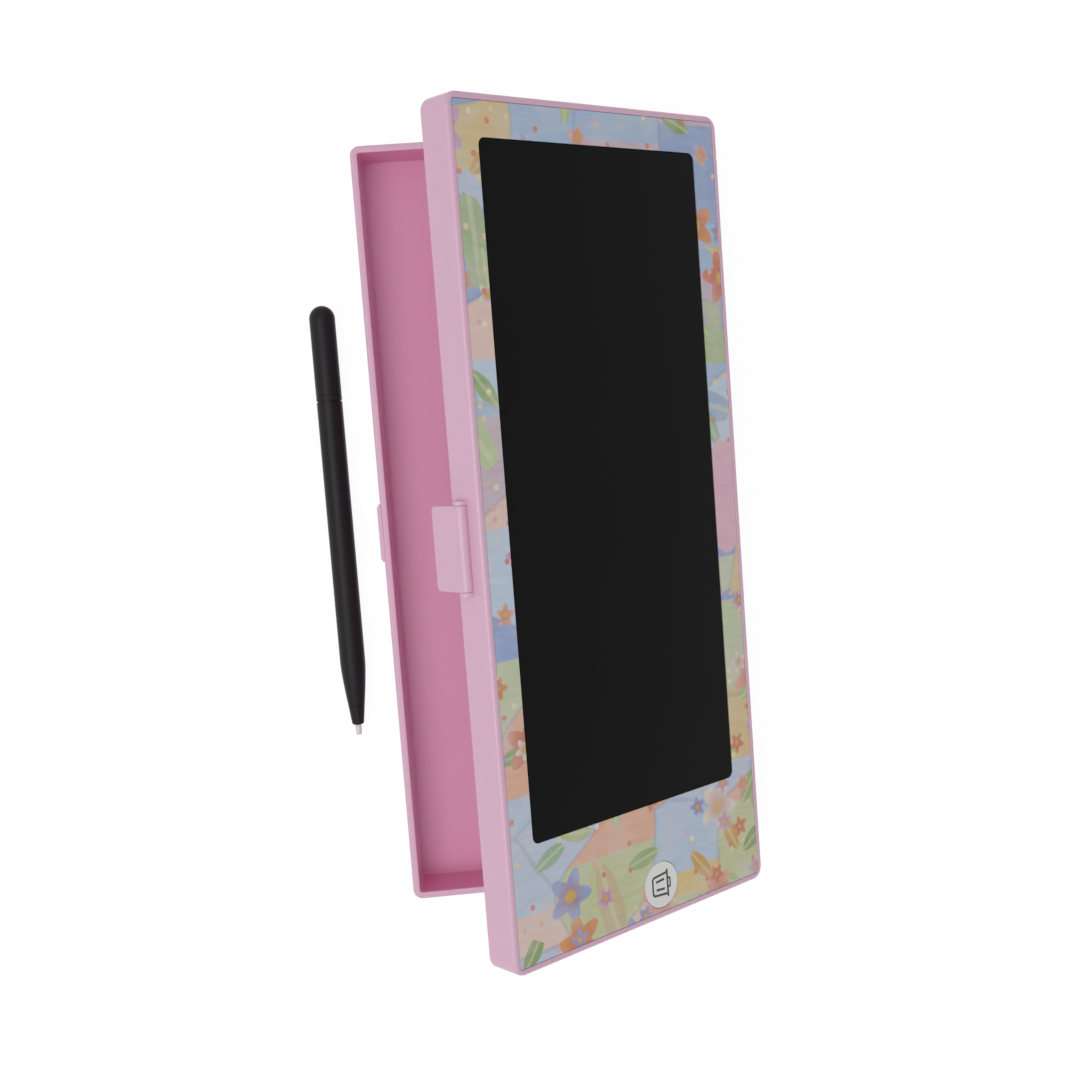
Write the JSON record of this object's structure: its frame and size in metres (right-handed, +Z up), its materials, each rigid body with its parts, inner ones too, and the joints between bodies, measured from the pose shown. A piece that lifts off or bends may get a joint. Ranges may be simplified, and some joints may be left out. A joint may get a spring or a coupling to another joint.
{
  "type": "lcd writing tablet pencil case",
  "caption": "Slim plastic pencil case: shallow open tray, hinged lid holding an LCD writing panel with an erase button, front latch flap, and a separate stylus lying beside it.",
  "frame": {"origin": "centre of the tray's flat underside, on the surface that the case lies on", "axes": "+Z up out of the tray, +X along the case towards the end with the erase button, +Y towards the hinge; the latch is on the -Y side"},
  "size_m": [0.24, 0.1302, 0.0911],
  "materials": {
    "pink_shell": "satin pink moulded plastic",
    "printed_panel": null,
    "writing_film": "black LCD writing film",
    "black_foam": "black foam sheet",
    "amber_film": "amber flexible film",
    "white_plastic": "white moulded plastic",
    "black_plastic": "black satin moulded plastic",
    "grey_nib": "pale grey plastic nib",
    "circuit_board": "green solder mask",
    "steel": "plain steel"
  },
  "bodies": {
    "tray": {"tray_shell": "pink_shell", "hinge_pin_far": "steel", "hinge_pin_near": "steel"},
    "lid": {"lid_frame": "pink_shell", "front_panel": "printed_panel", "writing_film": "writing_film", "film_backing": "black_foam", "film_ribbon": "amber_film", "ribbon_connector": "white_plastic", "circuit_board": "circuit_board", "controller_chip": "black_plastic", "erase_switch": "black_plastic", "coin_cell": "steel", "battery_contact_plus": "steel", "battery_contact_minus": "steel", "inner_cover": "pink_shell", "cover_screw_1": "steel", "cover_screw_2": "steel", "cover_screw_3": "steel", "cover_screw_4": "steel", "cover_screw_5": "steel", "cover_screw_6": "steel", "board_screw_1": "steel", "board_screw_2": "steel", "latch_pin": "steel"},
    "latch": {"latch_flap": "pink_shell"},
    "erase_button": {"button_cap": "white_plastic", "switch_plunger": "white_plastic"},
    "battery_lid": {"battery_door": "pink_shell", "battery_door_screw": "steel"},
    "stylus": {"stylus_cap": "black_plastic", "stylus_barrel": "black_plastic", "stylus_nose": "black_plastic", "stylus_nib": "grey_nib"}
  },
  "joints": [
    {"name": "lid_hinge", "type": "hinge", "parent": "tray", "child": "lid", "pos_m": [0, 0.0542, 0.01715], "axis": [-1, 0, 0], "range_deg": [-37.66, 142.34]},
    {"name": "latch_hinge", "type": "hinge", "parent": "lid", "child": "latch", "pos_m": [0.0004, -0.02831, 0.08676], "axis": [-1, 0, 0], "range_deg": [0, 75]},
    {"name": "button_press", "type": "slide", "parent": "lid", "child": "erase_button", "axis": [0, -0.611, -0.7917], "range_m": [0, 0.0005], "stiffness_N_per_m": 1500},
    {"name": "battery_door_slide", "type": "slide", "parent": "lid", "child": "battery_lid", "axis": [0, -0.611, -0.7917], "range_m": [0, 0.01]},
    {"name": "stylus_lift", "type": "slide", "parent": "tray", "child": "stylus", "axis": [0, 0, 1], "range_m": [0, 0.12]}
  ]
}
